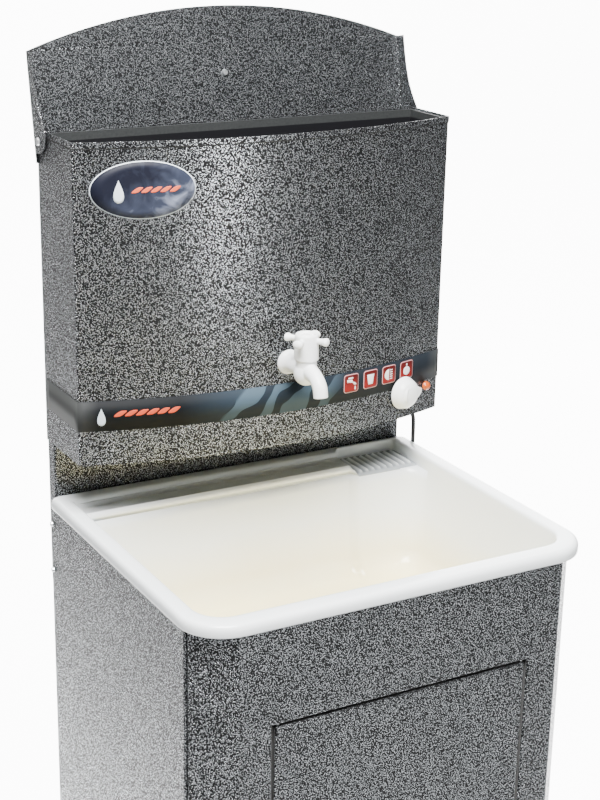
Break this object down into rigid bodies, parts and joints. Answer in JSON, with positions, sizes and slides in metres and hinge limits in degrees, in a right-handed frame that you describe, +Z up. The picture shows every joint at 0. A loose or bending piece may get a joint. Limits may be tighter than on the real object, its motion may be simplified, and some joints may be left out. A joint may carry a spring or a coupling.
{
  "type": "portable handwash sink",
  "caption": "Free-standing handwash station: steel cabinet with door, plastic sink, and a heated water tank with hinged lid, tap, thermostat knob and mains lead.",
  "frame": {"origin": "on the floor, under the middle of the product's bounding box (without the mains lead)", "axes": "+X to the user's right facing the sink, front towards -Y, +Z up"},
  "size_m": [0.5075, 0.5211, 1.3662],
  "materials": {
    "hammered_paint": "antique silver powder coat, black worm-like veins, semi-gloss",
    "sink_plastic": "gloss",
    "white_plastic": "gloss",
    "black_plastic": "matt",
    "tank_lining": "satin",
    "zinc_steel": "zinc plated",
    "brass": "plain brass",
    "rubber_seal": "matt",
    "amber_lens": "clear amber",
    "band_film": "printed film",
    "badge_film": "printed film",
    "cord_black": "matt PVC"
  },
  "bodies": {
    "stand": {"right_side_panel": "hammered_paint", "left_side_panel": "hammered_paint", "front_panel": "hammered_paint", "bottom_pan": "hammered_paint", "lower_rear_rail": "hammered_paint", "foot_front_left": "black_plastic", "foot_rear_left": "black_plastic", "foot_front_right": "black_plastic", "foot_rear_right": "black_plastic", "hinge_pin_upper": "zinc_steel", "hinge_pin_lower": "zinc_steel", "door_catch": "black_plastic", "rear_upright": "hammered_paint", "upright_screw_1": "zinc_steel", "upright_screw_2": "zinc_steel", "upright_screw_3": "zinc_steel", "upright_screw_4": "zinc_steel", "sink_basin": "sink_plastic", "drain_strainer": "zinc_steel", "drain_gasket": "rubber_seal", "drain_nut": "white_plastic", "drain_tailpiece": "white_plastic", "tank_casing": "hammered_paint", "water_tank": "tank_lining", "casing_bottom": "hammered_paint", "tank_bolt_1": "zinc_steel", "tank_bolt_2": "zinc_steel", "heater_element": "zinc_steel", "heater_flange": "brass", "heater_gasket": "rubber_seal", "heater_nut": "brass", "thermostat_body": "black_plastic", "indicator_holder": "black_plastic", "indicator_lens": "amber_lens", "thermostat_probe": "zinc_steel", "terminal_block": "white_plastic", "band_label": "band_film", "oval_badge": "badge_film", "tap_body": "white_plastic", "tap_back_nut": "white_plastic", "tap_gasket": "rubber_seal", "tap_bonnet": "white_plastic", "lid_rivet_left": "zinc_steel", "lid_rivet_right": "zinc_steel", "cord_strain_relief": "cord_black", "power_cord": "cord_black", "cord_coil": "cord_black", "power_cord_tail": "cord_black", "mains_plug": "cord_black"},
    "lid": {"lid_panel": "hammered_paint", "lid_knob": "white_plastic", "lid_knob_screw": "zinc_steel"},
    "door": {"door_panel": "hammered_paint", "door_knob": "white_plastic"},
    "tap_handle": {"tap_handle": "white_plastic", "tap_spindle": "white_plastic"},
    "tap_washer": {"tap_washer": "rubber_seal"},
    "thermostat_knob": {"thermostat_knob": "white_plastic", "thermostat_shaft": "zinc_steel"}
  },
  "joints": [
    {"name": "lid_hinge", "type": "hinge", "parent": "stand", "child": "lid", "pos_m": [0, 0.19645, 1.2272], "axis": [1, 0, 0], "range_deg": [0, 100]},
    {"name": "door_hinge", "type": "hinge", "parent": "stand", "child": "door", "pos_m": [-0.155, -0.21555, 0.39], "axis": [0, 0, -1], "range_deg": [0, 110]},
    {"name": "tap_turn", "type": "hinge", "parent": "stand", "child": "tap_handle", "pos_m": [0.004, 0.01875, 1], "axis": [0, 0, 1], "range_deg": [0, 540]},
    {"name": "washer_lift", "type": "slide", "parent": "stand", "child": "tap_washer", "axis": [0, 0, 1], "range_m": [0, 0.003]},
    {"name": "thermostat_turn", "type": "hinge", "parent": "stand", "child": "thermostat_knob", "pos_m": [0.178, 0.08353, 0.904], "axis": [0.2368, -0.9716, 0], "range_deg": [-45, 225]}
  ],
  "couplings": [
    {"joint": "washer_lift", "follows": "tap_turn", "m_per_rad": 0.000318}
  ]
}
